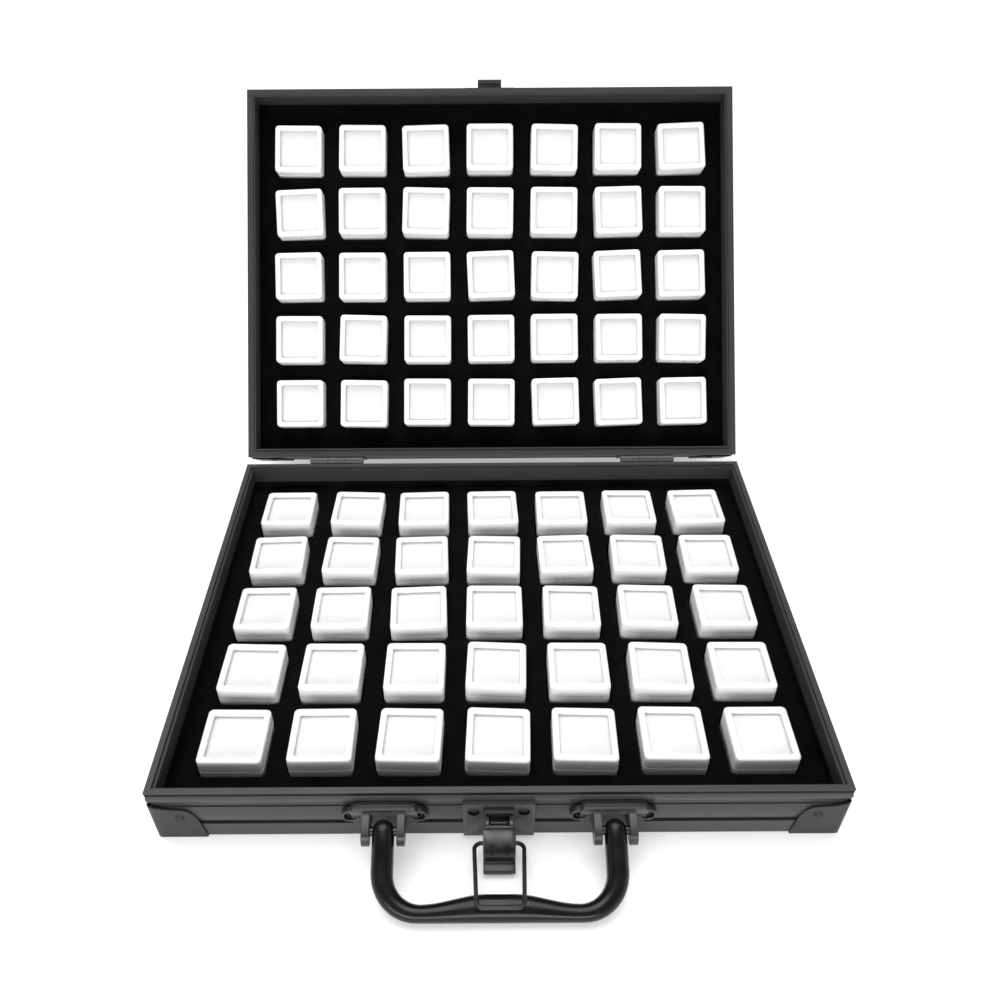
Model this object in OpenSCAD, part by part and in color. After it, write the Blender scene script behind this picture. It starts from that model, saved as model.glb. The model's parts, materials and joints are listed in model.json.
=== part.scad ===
/* [Case] */
// Outside width of the case, left to right
case_w = 310; // [310:1:330]
// Outside depth of the case, front to back
case_d = 235; // [235:1:250]
// Height of each half, from its flat face to its rim
half_h = 33.5; // [33.5:0.5:36]
// How far the lid stands open
lid_angle = 130; // [100:1:135]
/* [Sample boxes] */
// Boxes in a row, left to right
box_cols = 7; // [3:2:7]
// Boxes in a column, front to back
box_rows = 5; // [3:2:5]
// Distance between box centres
box_pitch = 41.2; // [36:0.1:41.2]
// Outside of one square box
box_size = 30; // [26:0.5:32]
// Height of one box
box_h = 16; // [15:0.5:18]
// Height of the box's lower part
tray_h = 8.4; // [7:0.1:9]
// Width of the frame round the window
window_frame = 3.1; // [2:0.1:4]
/* [Foam insert] */
// Depth of the foam's surface below the rim
foam_drop = 16; // [14:0.5:17]
// Depth of a box's top below the rim
box_drop = 6.8; // [6:0.1:8]
/* [Handle] */
// Distance from the case's centre to a handle arm
arm_x = 50.5; // [48:0.5:56]
// Diameter of a handle arm
arm_dia = 9.7; // [8:0.1:10]
// Diameter of the grip
grip_dia = 10.8; // [9:0.1:10.8]
/* [Latch] */
// Width of the latch plate and of the strike plate
latch_w = 31.8; // [30:0.2:34]
// Diameter of the bail's wire
wire_dia = 1.9; // [1.6:0.1:2]
// Angle of the closed lever from vertical
lever_tilt = 35; // [33:1:37]
/* [Hinges] */
// Distance from the case's centre to a hinge
hinge_x = 98.5; // [80:0.5:110]
// Width of a hinge
hinge_w = 33.5; // [30:0.5:36]
/* [Hidden] */
$fn = 32;
FRONT = 0;
RIGHT = 1;
BACK = 2;
LEFT = 3;
fit = 0.05;
// gap between the two rims when the case is shut
rim_gap = 0.2;
// the hinge axis, measured back from the rear face
hinge_out = 2.7;
hinge_y = case_d / 2 + hinge_out;
hinge_z = half_h + rim_gap / 2;
// walls, measured inwards from the outer face
lip_w = 2.75;
wall_t = 4.05;
lid_rim_w = 5.2;
skin_t = 1.6;
panel_t = 3;
flange_w = 7;
flange_t = 1;
// heights of the front face's bands, measured down from the rim
ledge_drop = 1.7;
bead_top = 2.6;
bead_bottom = 7.6;
core_bottom = 11;
band_top = 11.4;
band_bottom = 22.6;
edge_h = 9.6;
// pivots of handle, lever and bail: distance out of the front face, height above the rim
handle_at = [10, -14];
grip_at = [38, -28];
lever_at = [7.5, -14];
bail_along = 10.15;
bail_inward = 4.5;
bail_len = 31.2;
// angle of the bail above horizontal as it lies on the grip
bail_rest = 7.4;
bail_at = lever_at + [sin(lever_tilt) * bail_along - cos(lever_tilt) * bail_inward,
    -cos(lever_tilt) * bail_along - sin(lever_tilt) * bail_inward];
sample_cell = [floor(box_cols / 2), 0];
well_z = half_h - box_drop - box_h;
foam_z = half_h - foam_drop;

// ---- placing ----

// extrudes an outline of (outwards, up) along X, with outwards to -Y
module along_x(length) {
    rotate([90, 0, -90]) linear_extrude(length, center = true) children();
}

// puts something drawn for the front face's top edge on one of the four sides
module on_side(side) {
    reach = (side % 2 == 0 ? case_d : case_w) / 2;
    rotate([0, 0, 90 * side]) translate([0, -reach, half_h]) children();
}

// puts an outline of (outwards, up) on the front face, centred on x
module front_bar(x, length) {
    translate([x, -case_d / 2, half_h]) along_x(length) children();
}

// a round bar along X at a point (outwards, up) of the front face
module front_rod(x, length, at, r) {
    translate([x, -case_d / 2 - at[0], half_h + at[1]]) rotate([0, 90, 0])
        cylinder(h = length, r = r, center = true);
}

// a round bar square to a face, from one distance outwards to another
module out_rod(x, from_o, to_o, up, r) {
    translate([x, -from_o, up]) rotate([90, 0, 0]) cylinder(h = to_o - from_o, r = r);
}

// turns something drawn for the base into the lid, standing open
module as_lid() {
    translate([0, hinge_y, hinge_z]) rotate([-lid_angle, 0, 0])
        translate([0, -hinge_y, -hinge_z]) closed_lid() children();
}

module closed_lid() {
    translate([0, 0, 2 * hinge_z]) mirror([0, 0, 1]) children();
}

// ---- frame extrusions ----

module mitred(length) {
    over = 4;
    deep = 12;
    intersection() {
        along_x(length + over) children();
        translate([0, 0, -half_h - over]) linear_extrude(half_h + 2 * over)
            polygon([[-length / 2 - over, -over], [length / 2 + over, -over],
                [length / 2 - deep, deep], [-length / 2 + deep, deep]]);
    }
}

// a strip whose outer side bulges to the outer face
module bulge(top, bottom, rise, depth) {
    half = (bottom - top) / 2;
    r = (half * half + rise * rise) / (2 * rise);
    intersection() {
        translate([-r, -(top + bottom) / 2]) circle(r, $fn = 64);
        translate([-depth, -bottom]) square([depth, bottom - top]);
    }
}

module outer_bands() {
    groove = 1.2;
    lip_t = 0.4;
    valley = 1.2;
    bead_rise = 0.5;
    band_rise = 0.7;
    translate([-lip_w, -lip_t]) square([lip_w, lip_t]);
    translate([-lip_w, -bead_top - fit]) square([lip_w - groove, bead_top + fit]);
    bulge(bead_top, bead_bottom, bead_rise, valley + fit);
    translate([-wall_t, -core_bottom]) square([wall_t - valley, core_bottom - ledge_drop]);
    translate([-skin_t, -band_top - fit]) square([skin_t - valley, 1]);
    bulge(band_top, band_bottom, band_rise, skin_t);
}

module base_rim(side) {
    length = side % 2 == 0 ? case_w : case_d;
    color("dimgray") on_side(side) mitred(length) outer_bands();
}

module lid_rim(side) {
    length = side % 2 == 0 ? case_w : case_d;
    tongue_w = 0.7;
    tongue_h = 1.2;
    slot_w = 0.7;
    slot_d = 0.8;
    color("dimgray") as_lid() on_side(side) mitred(length) {
        outer_bands();
        difference() {
            translate([-lid_rim_w, -core_bottom]) square([lid_rim_w - lip_w + 1, core_bottom]);
            translate([-lid_rim_w + tongue_w, -slot_d]) square([slot_w, 2 * slot_d]);
        }
        translate([-lid_rim_w, -1]) square([tongue_w, 1 + tongue_h]);
    }
}

// the lower angle that joins the sides to the flat panel
module edge(side) {
    length = side % 2 == 0 ? case_w : case_d;
    corner_r = 0.7;
    color("dimgray") on_side(side) mitred(length) translate([0, -half_h]) {
        translate([-skin_t, corner_r]) square([skin_t, edge_h - corner_r]);
        translate([-skin_t, 0]) square([skin_t - corner_r, corner_r + fit]);
        intersection() {
            translate([-corner_r, corner_r]) circle(corner_r);
            translate([-corner_r - fit, 0]) square([corner_r + fit, corner_r + fit]);
        }
        translate([-flange_w, panel_t]) square([flange_w - skin_t + fit, flange_t]);
    }
}

module side_panels() {
    panel_gap = 0.05;
    tall = half_h - core_bottom - panel_t - flange_t - 2 * panel_gap;
    color([0.05, 0.05, 0.05]) for (side = [FRONT, RIGHT, BACK, LEFT]) {
        ends = side % 2 == 0 ? skin_t : wall_t;
        length = (side % 2 == 0 ? case_w : case_d) - 2 * (ends + panel_gap);
        on_side(side) along_x(length) translate([-wall_t, -core_bottom - panel_gap - tall])
            square([wall_t - skin_t - panel_gap, tall]);
    }
}

module flat_panel() {
    in = skin_t + fit;
    color([0.06, 0.06, 0.06]) translate([-case_w / 2 + in, -case_d / 2 + in, 0])
        cube([case_w - 2 * in, case_d - 2 * in, panel_t]);
}

// ---- foam and boxes ----

// puts a copy at each box's place, the open half's floor upwards
module each_box(skip) {
    for (col = [0 : box_cols - 1], row = [0 : box_rows - 1])
        if (!skip || [col, row] != sample_cell)
            at_cell([col, row]) children();
}

module at_cell(cell) {
    translate([(cell[0] - (box_cols - 1) / 2) * box_pitch,
        (cell[1] - (box_rows - 1) / 2) * box_pitch, well_z]) children();
}

module foam() {
    play = 0.35;
    in = wall_t + fit;
    low_in = flange_w + fit;
    well = box_size + 2 * play;
    color([0.03, 0.03, 0.03]) difference() {
        union() {
            translate([-case_w / 2 + in, -case_d / 2 + in, panel_t + flange_t])
                cube([case_w - 2 * in, case_d - 2 * in, foam_z - panel_t - flange_t]);
            translate([-case_w / 2 + low_in, -case_d / 2 + low_in, panel_t])
                cube([case_w - 2 * low_in, case_d - 2 * low_in, 2 * flange_t]);
        }
        each_box(false) translate([-well / 2, -well / 2, -fit]) cube([well, well, box_h]);
    }
}

module rounded_square(size, r) {
    square([size - 2 * r, size], center = true);
    square([size, size - 2 * r], center = true);
    for (x = [-1, 1], y = [-1, 1])
        translate([x * (size / 2 - r), y * (size / 2 - r)]) circle(r);
}

box_r = 2;
box_wall = 1.2;
window_t = 0.8;
frame_t = 1.8;

module box_tray() {
    color("white") difference() {
        linear_extrude(tray_h) rounded_square(box_size, box_r);
        translate([0, 0, box_wall]) linear_extrude(tray_h)
            rounded_square(box_size - 2 * box_wall, box_r - box_wall);
    }
}

// the soft pad fills the box up to its window
module box_pad() {
    play = 0.2;
    pad_t = box_h - frame_t - window_t - box_wall - play;
    color("white") translate([0, 0, box_wall]) linear_extrude(pad_t)
        rounded_square(box_size - 2 * (box_wall + play), box_r - box_wall);
}

module box_lid() {
    lid_bottom = tray_h + 0.1;
    color("white") difference() {
        translate([0, 0, lid_bottom]) linear_extrude(box_h - lid_bottom) rounded_square(box_size, box_r);
        translate([0, 0, lid_bottom - 1]) linear_extrude(box_h - frame_t - lid_bottom + 1)
            rounded_square(box_size - 2 * box_wall, box_r - box_wall);
        translate([0, 0, lid_bottom]) linear_extrude(box_h)
            rounded_square(box_size - 2 * window_frame, 1);
    }
}

module box_window() {
    side = box_size - 2 * (box_wall + fit);
    color([0.9, 0.93, 0.95, 0.5]) translate([0, 0, box_h - frame_t - window_t])
        linear_extrude(window_t) rounded_square(side, box_r - box_wall);
}

// ---- corner guards ----

guard_t = 0.8;
guard_r = 2.5;
guard_rivet = [12.5, 15.3];
guard_shank_r = 1.3;

// a curve from one point to another that bends towards a third
function bend(from, to, towards) = [for (t = [0 : 0.125 : 1])
    (1 - t) * (1 - t) * from + 2 * t * (1 - t) * towards + t * t * to];

// the guard's outline on a face: distance from the corner, height above the flat face
module guard_outline() {
    waist = [8.6, 21.9];
    polygon(concat([[-2, 0], [22.5, 0], [22.2, 3]],
        bend([20.9, 12], [15.2, 21.2], [19.9, 19.6]),
        bend(waist, [-2, 26], [2.8, 22.6])));
}

// a guard for the front left corner
module guard() {
    tall = 27;
    outer = 26;
    reach = 30;
    difference() {
        intersection() {
            translate([outer - guard_t, outer - guard_t, 0]) linear_extrude(tall)
                rounded_square(2 * outer, guard_r);
            translate([0, reach, 0]) rotate([90, 0, 0]) linear_extrude(2 * reach) guard_outline();
            translate([-reach, 0, 0]) rotate([90, 0, 90]) linear_extrude(2 * reach) guard_outline();
        }
        translate([0, 0, -1]) cube([2 * outer, 2 * outer, tall + 2]);
        for (face = [0, 1]) on_guard_face(face) cylinder(h = 6, r = guard_shank_r + fit, center = true);
    }
}

// the rivet's place on the two faces of the front left corner
module on_guard_face(face) {
    if (face == 0)
        translate([guard_rivet[0], -guard_t, guard_rivet[1]]) rotate([90, 0, 0]) children();
    else
        translate([-guard_t, guard_rivet[0], guard_rivet[1]]) rotate([0, -90, 0]) children();
}

module each_corner() {
    for (x = [0, 1], y = [0, 1]) mirror([x, 0, 0]) mirror([0, y, 0])
        translate([-case_w / 2, -case_d / 2, 0]) children();
}

module corner_guards() {
    color([0.12, 0.12, 0.13]) each_corner() guard();
}

module corner_rivets() {
    head_r = 2.5;
    head_h = 0.6;
    color([0.2, 0.2, 0.21]) each_corner() for (face = [0, 1]) on_guard_face(face)
        rivet(head_r, head_h, guard_t, guard_shank_r);
}

// a rivet standing up out of a plate whose outer face is at z = 0
module rivet(head_r, head_h, plate_t, shank_r) {
    cylinder(h = head_h, r1 = head_r, r2 = head_r * 0.7);
    translate([0, 0, -plate_t]) cylinder(h = plate_t + fit, r = shank_r);
}

// ---- hinges ----

leaf_t = 1.2;
leaf_top = 3;
leaf_bottom = 20;
knuckle_r = 2.4;
hinge_pin_r = 1.2;
hinge_rivet_x = [-11, 0, 11];
hinge_rivet_up = -13;
hinge_shank_r = 1;
hinge_head_r = 1.9;
hinge_head_h = 0.6;

// a leaf for the back face, with knuckles centred at each x of the list
module leaf(x0, knuckles, length) {
    on_side(BACK) difference() {
        union() {
            translate([x0, 0, 0]) along_x(hinge_w) translate([0, -leaf_bottom])
                square([leaf_t, leaf_bottom - leaf_top]);
            for (x = knuckles) translate([x0 + x, 0, 0]) {
                along_x(length) translate([hinge_out - knuckle_r, -leaf_top - 1])
                    square([leaf_t, leaf_top + 1 + rim_gap / 2]);
                along_x(length) translate([hinge_out, rim_gap / 2]) circle(knuckle_r);
            }
        }
        translate([x0, -hinge_out, rim_gap / 2]) rotate([0, 90, 0])
            cylinder(h = hinge_w + 2, r = hinge_pin_r + fit, center = true);
        for (x = hinge_rivet_x) out_rod(x0 + x, -1, leaf_t + 1, hinge_rivet_up, hinge_shank_r + fit);
    }
}

module base_leaf(x0) {
    length = hinge_w / 3 - 0.2;
    color([0.1, 0.1, 0.1]) leaf(x0, [-hinge_w / 3, hinge_w / 3], length);
}

module lid_leaf(x0) {
    color([0.1, 0.1, 0.1]) as_lid() leaf(x0, [0], hinge_w / 3 - 0.4);
}

module hinge_pins() {
    color("silver") for (x = [-hinge_x, hinge_x]) translate([x, hinge_y, hinge_z]) rotate([0, 90, 0])
        cylinder(h = hinge_w, r = hinge_pin_r, center = true);
}

module hinge_rivets() {
    color([0.2, 0.2, 0.21]) on_side(BACK) for (x0 = [-hinge_x, hinge_x], x = hinge_rivet_x)
        translate([x0 + x, -leaf_t, hinge_rivet_up]) rotate([90, 0, 0])
            rivet(hinge_head_r, hinge_head_h, leaf_t, hinge_shank_r);
}

// ---- handle ----

bracket_t = 4.4;
ear_in = 5.9;
ear_t = 3.6;
ear_r = 4;
handle_pin_r = 2;
screw_span = 30;
screw_up = -14;
screw_r = 1.8;
screw_head_r = 2.4;
// thickness of the bracket under a screw's head
screw_seat = 0.8;

module bracket(x0) {
    top = -6.2;
    bottom = -21;
    wide = 38.2;
    narrow = 30;
    wing = 4;
    color([0.05, 0.05, 0.05]) difference() {
        union() {
            translate([x0, -case_d / 2, half_h]) rotate([90, 0, 0]) linear_extrude(bracket_t)
                polygon([[-narrow / 2, top], [narrow / 2, top], [wide / 2, screw_up + wing],
                    [wide / 2, screw_up - wing], [narrow / 2, bottom], [-narrow / 2, bottom],
                    [-wide / 2, screw_up - wing], [-wide / 2, screw_up + wing]]);
            for (s = [-1, 1]) front_bar(x0 + s * (ear_in + ear_t / 2), ear_t) {
                translate(handle_at) circle(ear_r);
                polygon([[bracket_t - 1, -8.6], handle_at + [0, ear_r], handle_at - [0, ear_r],
                    [bracket_t - 1, -20]]);
            }
        }
        front_rod(x0, 40, handle_at, handle_pin_r + fit);
        for (s = [-1, 1]) translate([0, -case_d / 2, half_h]) {
            out_rod(x0 + s * screw_span / 2, -1, bracket_t + 1, screw_up, screw_r + fit);
            out_rod(x0 + s * screw_span / 2, screw_seat, bracket_t + 1, screw_up, screw_head_r + 3 * fit);
        }
    }
}

module bracket_screws() {
    head_h = 1.4;
    socket_r = 1.3;
    color("dimgray") for (x0 = [-arm_x, arm_x], s = [-1, 1])
        translate([x0 + s * screw_span / 2, -case_d / 2 - screw_seat, half_h + screw_up])
            rotate([90, 0, 0]) difference() {
                rivet(screw_head_r, head_h, screw_seat, screw_r);
                cylinder(h = head_h + 1, r = socket_r, $fn = 6);
            }
}

module pivot_pins() {
    color("dimgray") for (x = [-arm_x, arm_x])
        front_rod(x, 2 * (ear_in + ear_t), handle_at, handle_pin_r);
}

// places something drawn in the handle's plane: X across, Y outwards along the arms
module in_handle_plane() {
    reach = grip_at - handle_at;
    slope = atan2(reach[1], reach[0]);
    translate([0, -case_d / 2 - handle_at[0], half_h + handle_at[1]])
        rotate([180 - slope, 0, 0]) children();
}

module handle_grip() {
    reach = norm(grip_at - handle_at);
    bend_r = 17;
    boss_w = 2 * ear_in - 1;
    color([0.04, 0.04, 0.04]) in_handle_plane() difference() {
        union() {
            for (s = [-1, 1]) {
                translate([s * arm_x, 0, 0]) rotate([0, 90, 0])
                    cylinder(h = boss_w, r = arm_dia / 2, center = true);
                translate([s * arm_x, 0, 0]) rotate([-90, 0, 0])
                    cylinder(h = reach - bend_r, r = arm_dia / 2);
                translate([s * (arm_x - bend_r), reach - bend_r, 0])
                    rotate([0, 0, s > 0 ? 0 : 90]) rotate_extrude(angle = 90)
                        translate([bend_r, 0]) circle(arm_dia / 2);
            }
            translate([0, reach, 0]) rotate([0, 90, 0])
                cylinder(h = 2 * (arm_x - bend_r), r = arm_dia / 2, center = true);
            translate([0, reach, 0]) rotate([0, 90, 0])
                cylinder(h = 2 * (arm_x - bend_r) - 6, r = grip_dia / 2, center = true);
        }
        for (s = [-1, 1]) translate([s * arm_x, 0, 0]) rotate([0, 90, 0])
            cylinder(h = boss_w + 2, r = handle_pin_r + fit, center = true);
    }
}

// ---- latch ----

plate_t = 2.4;
lever_pin_r = 1;
bail_pin_r = 1;
ear_gap = 9.2;
latch_ear_t = 1.2;
latch_ear_r = 3.2;
strike_t = 2;
plate_rivet_x = 11.2;
plate_rivet_up = -12;
strike_rivet_up = -15;
plate_head_r = 2.4;
plate_head_h = 0.7;
plate_shank_r = 1.5;
// thickness of the plates under a rivet's head
plate_seat = 0.9;

module latch_plate() {
    top = -6.3;
    bottom = -31;
    opening_w = 13.5;
    opening_top = -7.7;
    opening_waist = -13;
    opening_bottom = -23;
    ledge_up = -10.5;
    ledge_w = 12.9;
    ledge_out = 3.9;
    strip_t = 1;
    color([0.09, 0.09, 0.09]) {
        difference() {
            union() {
                front_bar(0, latch_w) translate([0, bottom]) square([plate_t, top - bottom]);
                for (s = [-1, 1]) front_bar(s * (ear_gap + latch_ear_t) / 2, latch_ear_t) {
                    translate(lever_at) circle(latch_ear_r);
                    polygon([[1, opening_waist], lever_at + [0, latch_ear_r], lever_at - [0, latch_ear_r],
                        [1, -20]]);
                }
            }
            front_bar(0, ear_gap) translate([-1, opening_bottom])
                square([plate_t + 2, opening_top - opening_bottom]);
            front_bar(0, opening_w) translate([-1, opening_waist])
                square([plate_t + 2, opening_top - opening_waist]);
            front_rod(0, latch_w, lever_at, lever_pin_r + fit);
            for (s = [-1, 1]) translate([0, -case_d / 2, half_h]) {
                out_rod(s * plate_rivet_x, -1, plate_t + 1, plate_rivet_up, plate_shank_r + fit);
                out_rod(s * plate_rivet_x, plate_seat, plate_t + 1, plate_rivet_up, plate_head_r + 3 * fit);
            }
        }
        front_bar(0, ledge_w) {
            translate([0, ledge_up]) square([strip_t, opening_top - ledge_up + 0.5]);
            translate([0, ledge_up]) square([ledge_out, strip_t]);
        }
    }
}

module plate_rivets() {
    color([0.2, 0.2, 0.21]) for (s = [-1, 1])
        translate([s * plate_rivet_x, -case_d / 2 - plate_seat, half_h + plate_rivet_up])
            rotate([90, 0, 0]) rivet(plate_head_r, plate_head_h, plate_seat, plate_shank_r);
}

module lever_pin() {
    color("dimgray") front_rod(0, ear_gap + 2 * latch_ear_t, lever_at, lever_pin_r);
}

// an outline of (along the lever, outwards from it) in the lever's own frame
module lever_bar(length) {
    front_bar(0, length) translate(lever_at) rotate(lever_tilt - 90) children();
}

module latch_lever() {
    neck_w = ear_gap - 0.6;
    lever_w = 14.2;
    sheet_t = 1.1;
    knuckle = 2.5;
    tip = 22.25;
    color([0.09, 0.09, 0.09]) difference() {
        union() {
            lever_bar(neck_w) {
                circle(knuckle);
                translate([0, knuckle - sheet_t]) square([7, sheet_t]);
            }
            lever_bar(lever_w) polygon([[6, 1.4], [6, 2.5], [9, 3.3], [13, 3.1], [17, 1.9],
                [20, 0.6], [tip, 0.2], [tip, -0.8], [19.6, -0.6], [16.6, 0.7], [13, 2], [9, 2.2]]);
            for (s = [-1, 1]) translate([s * (lever_w - sheet_t) / 2, 0, 0]) lever_bar(sheet_t) {
                translate([bail_along, -bail_inward]) circle(2);
                polygon([[6, 2.2], [9, 3], [13, 2.8], [16, 1.4], [14.5, -0.5],
                    [bail_along + 2, -bail_inward], [bail_along - 2, -bail_inward], [6, 0]]);
            }
        }
        front_rod(0, 2 * lever_w, lever_at, lever_pin_r + fit);
        front_rod(0, 2 * lever_w, bail_at, bail_pin_r + fit);
    }
}

bail_leg_x = 11.05;
pin_head_x = bail_leg_x + wire_dia / 2 + 0.2;

module bail_pin() {
    color("dimgray") {
        front_rod(0, 2 * pin_head_x + fit, bail_at, bail_pin_r);
        for (s = [-1, 1]) front_rod(s * (pin_head_x + 0.4), 0.8, bail_at, 1.8);
    }
}

// places something drawn in the bail's plane: X across, Y outwards along its legs
module in_bail_plane() {
    translate([0, -case_d / 2 - bail_at[0], half_h + bail_at[1]])
        rotate([180 - bail_rest, 0, 0]) children();
}

module latch_bail() {
    bend_r = 3;
    eye_r = 2.1;
    color([0.12, 0.12, 0.12]) in_bail_plane() {
        for (s = [-1, 1]) {
            difference() {
                union() {
                    translate([s * bail_leg_x, 0, 0]) rotate([0, 90, 0])
                        cylinder(h = wire_dia, r = eye_r, center = true);
                    translate([s * bail_leg_x, 1.5, 0]) rotate([-90, 0, 0])
                        cylinder(h = bail_len - bend_r - 1.5, r = wire_dia / 2);
                }
                translate([s * bail_leg_x, 0, 0]) rotate([0, 90, 0])
                    cylinder(h = 2 * wire_dia, r = bail_pin_r + fit, center = true);
            }
            translate([s * (bail_leg_x - bend_r), bail_len - bend_r, 0])
                rotate([0, 0, s > 0 ? 0 : 90]) rotate_extrude(angle = 90)
                    translate([bend_r, 0]) circle(wire_dia / 2);
        }
        translate([0, bail_len, 0]) rotate([0, 90, 0])
            cylinder(h = 2 * (bail_leg_x - bend_r), r = wire_dia / 2, center = true);
    }
}

// the plate and hook on the lid's front face, drawn upside down for as_lid
module strike_plate() {
    top = -4;
    bottom = -24;
    hook_w = 15.2;
    seat = 7.3;
    hook_out = 8;
    hook_t = 1.3;
    lip_t = 1.1;
    lip_h = 2.9;
    tip_r = 0.8;
    color([0.09, 0.09, 0.09]) as_lid() difference() {
        union() {
            front_bar(0, latch_w) translate([0, bottom]) square([strike_t, top - bottom]);
            front_bar(0, hook_w) {
                translate([1, -seat - hook_t]) square([hook_out - 1.7, hook_t]);
                translate([hook_out - lip_t, -seat - hook_t]) square([lip_t, lip_h]);
                translate([hook_out - 0.9, -seat - 0.5]) circle(tip_r);
            }
        }
        for (s = [-1, 1]) translate([0, -case_d / 2, half_h]) {
            out_rod(s * plate_rivet_x, -1, strike_t + 1, strike_rivet_up, plate_shank_r + fit);
            out_rod(s * plate_rivet_x, plate_seat, strike_t + 1, strike_rivet_up, plate_head_r + 3 * fit);
        }
    }
}

module strike_rivets() {
    color([0.2, 0.2, 0.21]) as_lid() for (s = [-1, 1])
        translate([s * plate_rivet_x, -case_d / 2 - plate_seat, half_h + strike_rivet_up])
            rotate([90, 0, 0]) rivet(plate_head_r, plate_head_h, plate_seat, plate_shank_r);
}

base_rim(FRONT);  // base_rim_front
base_rim(RIGHT);  // base_rim_right
base_rim(BACK);  // base_rim_back
base_rim(LEFT);  // base_rim_left
edge(FRONT);  // base_edge_front
edge(RIGHT);  // base_edge_right
edge(BACK);  // base_edge_back
edge(LEFT);  // base_edge_left
side_panels();  // base_side_panels
flat_panel();  // base_bottom_panel
foam();  // base_foam_insert
each_box(true) box_tray();  // base_box_trays
each_box(true) box_lid();  // base_box_lids
each_box(true) box_window();  // base_box_windows
each_box(true) box_pad();  // base_box_pads
corner_guards();  // base_corner_guards
corner_rivets();  // base_corner_rivets
latch_plate();
plate_rivets();  // latch_plate_rivets
lever_pin();  // latch_lever_pin
bracket(-arm_x);  // handle_bracket_left
bracket(arm_x);  // handle_bracket_right
bracket_screws();  // handle_bracket_screws
pivot_pins();  // handle_pivot_pins
base_leaf(hinge_x);  // hinge_left_base_leaf
base_leaf(-hinge_x);  // hinge_right_base_leaf
hinge_pins();
hinge_rivets();  // hinge_base_rivets
lid_rim(FRONT);  // lid_rim_front
lid_rim(RIGHT);  // lid_rim_right
lid_rim(BACK);  // lid_rim_back
lid_rim(LEFT);  // lid_rim_left
as_lid() edge(FRONT);  // lid_edge_front
as_lid() edge(RIGHT);  // lid_edge_right
as_lid() edge(BACK);  // lid_edge_back
as_lid() edge(LEFT);  // lid_edge_left
as_lid() side_panels();  // lid_side_panels
as_lid() flat_panel();  // lid_top_panel
as_lid() foam();  // lid_foam_insert
as_lid() each_box(false) box_tray();  // lid_box_trays
as_lid() each_box(false) box_lid();  // lid_box_lids
as_lid() each_box(false) box_window();  // lid_box_windows
as_lid() each_box(false) box_pad();  // lid_box_pads
as_lid() corner_guards();  // lid_corner_guards
as_lid() corner_rivets();  // lid_corner_rivets
strike_plate();
strike_rivets();
lid_leaf(hinge_x);  // hinge_left_lid_leaf
lid_leaf(-hinge_x);  // hinge_right_lid_leaf
as_lid() hinge_rivets();  // hinge_lid_rivets
handle_grip();
latch_lever();
bail_pin();
latch_bail();
at_cell(sample_cell) box_tray();  // sample_box_tray
at_cell(sample_cell) box_pad();  // sample_box_pad
at_cell(sample_cell) box_lid();  // sample_box_lid
at_cell(sample_cell) box_window();  // sample_box_window
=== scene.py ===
import json
import math
import random

import bpy
from mathutils import Matrix, Vector


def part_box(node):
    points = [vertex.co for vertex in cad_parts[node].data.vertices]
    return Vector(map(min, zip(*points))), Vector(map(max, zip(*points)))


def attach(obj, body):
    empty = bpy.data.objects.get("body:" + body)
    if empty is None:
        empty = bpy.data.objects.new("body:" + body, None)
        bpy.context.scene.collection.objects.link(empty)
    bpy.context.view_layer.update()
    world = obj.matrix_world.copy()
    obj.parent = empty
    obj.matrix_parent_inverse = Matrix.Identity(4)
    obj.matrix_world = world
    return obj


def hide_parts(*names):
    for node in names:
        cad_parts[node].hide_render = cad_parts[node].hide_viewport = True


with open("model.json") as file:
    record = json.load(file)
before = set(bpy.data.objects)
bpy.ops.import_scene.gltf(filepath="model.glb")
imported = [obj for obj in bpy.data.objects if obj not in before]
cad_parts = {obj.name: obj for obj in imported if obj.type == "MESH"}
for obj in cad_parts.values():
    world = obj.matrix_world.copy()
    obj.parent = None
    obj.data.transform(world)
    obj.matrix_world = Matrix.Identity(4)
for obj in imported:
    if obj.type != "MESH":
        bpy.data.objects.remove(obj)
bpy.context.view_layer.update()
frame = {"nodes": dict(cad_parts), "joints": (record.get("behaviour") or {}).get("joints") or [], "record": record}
MM = 0.001
joints = {j["name"]: j for j in frame["joints"]}


# ---- places worked out from the frame ----

def size_of(node):
    low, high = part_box(node)
    return high - low


def joint_place(name):
    return Vector(joints[name]["pos_m"])


FRONT_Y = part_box("base_rim_front")[0].y
RIM_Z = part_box("base_rim_front")[1].z
CASE_W = size_of("base_rim_front").x
CASE_D = size_of("base_rim_left").y
HINGE = joint_place("lid_hinge")
LID_OPEN = -joints["lid_hinge"]["range_deg"][0]
BOX_SIZE = size_of("sample_box_tray").x
WELL_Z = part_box("sample_box_tray")[0].z
BOX_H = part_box("sample_box_lid")[1].z - WELL_Z
TRAY_H = size_of("sample_box_tray").z
COLS, ROWS = 7, 5
PITCH = (size_of("lid_box_trays").x - BOX_SIZE) / (COLS - 1)
FOAM_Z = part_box("base_foam_insert")[1].z
FOAM_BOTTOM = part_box("base_foam_insert")[0].z
SAMPLE_CELL = (COLS // 2, 0)

# carries a piece that is drawn for the base into the open lid
TO_LID = (
    Matrix.Translation(HINGE)
    @ Matrix.Rotation(math.radians(-LID_OPEN), 4, "X")
    @ Matrix.Translation(-HINGE)
    @ Matrix.Translation((0, 0, 2 * HINGE.z))
    @ Matrix.Rotation(math.pi, 4, "Y")
)


# ---- materials ----

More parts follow.
